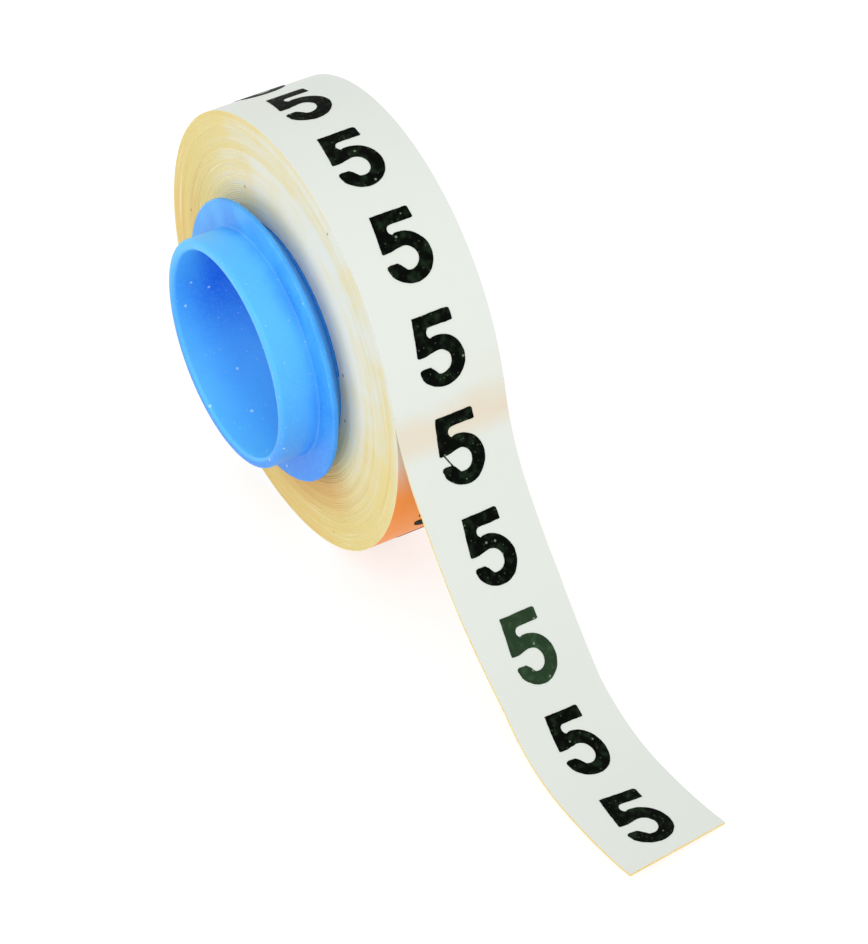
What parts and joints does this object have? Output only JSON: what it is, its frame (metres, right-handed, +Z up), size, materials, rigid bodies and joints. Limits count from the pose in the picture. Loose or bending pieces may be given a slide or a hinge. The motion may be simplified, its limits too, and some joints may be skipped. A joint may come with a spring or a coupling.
{
  "type": "numbered marker tape roll",
  "caption": "Small roll of white tape with a printed numeral on every label, wound on a flanged plastic core with a collar, with a free tail.",
  "frame": {"origin": "on the roll's axis, at the middle of the tape's width", "axes": "+Y along the core's bore, away from its collar; +X towards the free tail; +Z up"},
  "size_m": [0.0385, 0.0094, 0.021],
  "materials": {
    "core_plastic": "smooth moulded, slightly waxy and translucent",
    "tape_film": "satin white film with a cream adhesive edge",
    "numeral_ink": "printed ink, flat black"
  },
  "bodies": {
    "roll": {"core": "core_plastic", "wound_tape": "tape_film", "wound_numerals": "numeral_ink"},
    "tail_1": {"tail_label_1": "tape_film", "tail_numeral_1": "numeral_ink"},
    "tail_2": {"tail_label_2": "tape_film", "tail_numeral_2": "numeral_ink"},
    "tail_3": {"tail_label_3": "tape_film", "tail_numeral_3": "numeral_ink"},
    "tail_4": {"tail_label_4": "tape_film", "tail_numeral_4": "numeral_ink"},
    "tail_5": {"tail_label_5": "tape_film", "tail_numeral_5": "numeral_ink"}
  },
  "joints": [
    {"name": "peel_lift", "type": "hinge", "parent": "roll", "child": "tail_1", "pos_m": [0.01015, 0, 0.00268], "axis": [0, -1, 0], "range_deg": [0, 45], "stiffness_Nm_per_rad": 0.0002},
    {"name": "tail_bend_1", "type": "hinge", "parent": "tail_1", "child": "tail_2", "pos_m": [0.01215, 0.00004, -0.00151], "axis": [0.0914, -0.9934, 0.0697], "range_deg": [-12, 20], "stiffness_Nm_per_rad": 0.0002},
    {"name": "tail_bend_2", "type": "hinge", "parent": "tail_2", "child": "tail_3", "pos_m": [0.01518, 0.00015, -0.00507], "axis": [0.0997, -0.9905, 0.0946], "range_deg": [-12, 20], "stiffness_Nm_per_rad": 0.0002},
    {"name": "tail_bend_3", "type": "hinge", "parent": "tail_3", "child": "tail_4", "pos_m": [0.01855, 0.00034, -0.00831], "axis": [0.1568, -0.9711, 0.1798], "range_deg": [-12, 20], "stiffness_Nm_per_rad": 0.0002},
    {"name": "tail_bend_4", "type": "hinge", "parent": "tail_4", "child": "tail_5", "pos_m": [0.0228, 0.00061, -0.01008], "axis": [0.0097, -0.9907, 0.1354], "range_deg": [-12, 20], "stiffness_Nm_per_rad": 0.0002}
  ],
  "couplings": [
    {"joint": "tail_bend_2", "follows": "tail_bend_1", "ratio": 1},
    {"joint": "tail_bend_3", "follows": "tail_bend_1", "ratio": 1},
    {"joint": "tail_bend_4", "follows": "tail_bend_1", "ratio": 1}
  ]
}
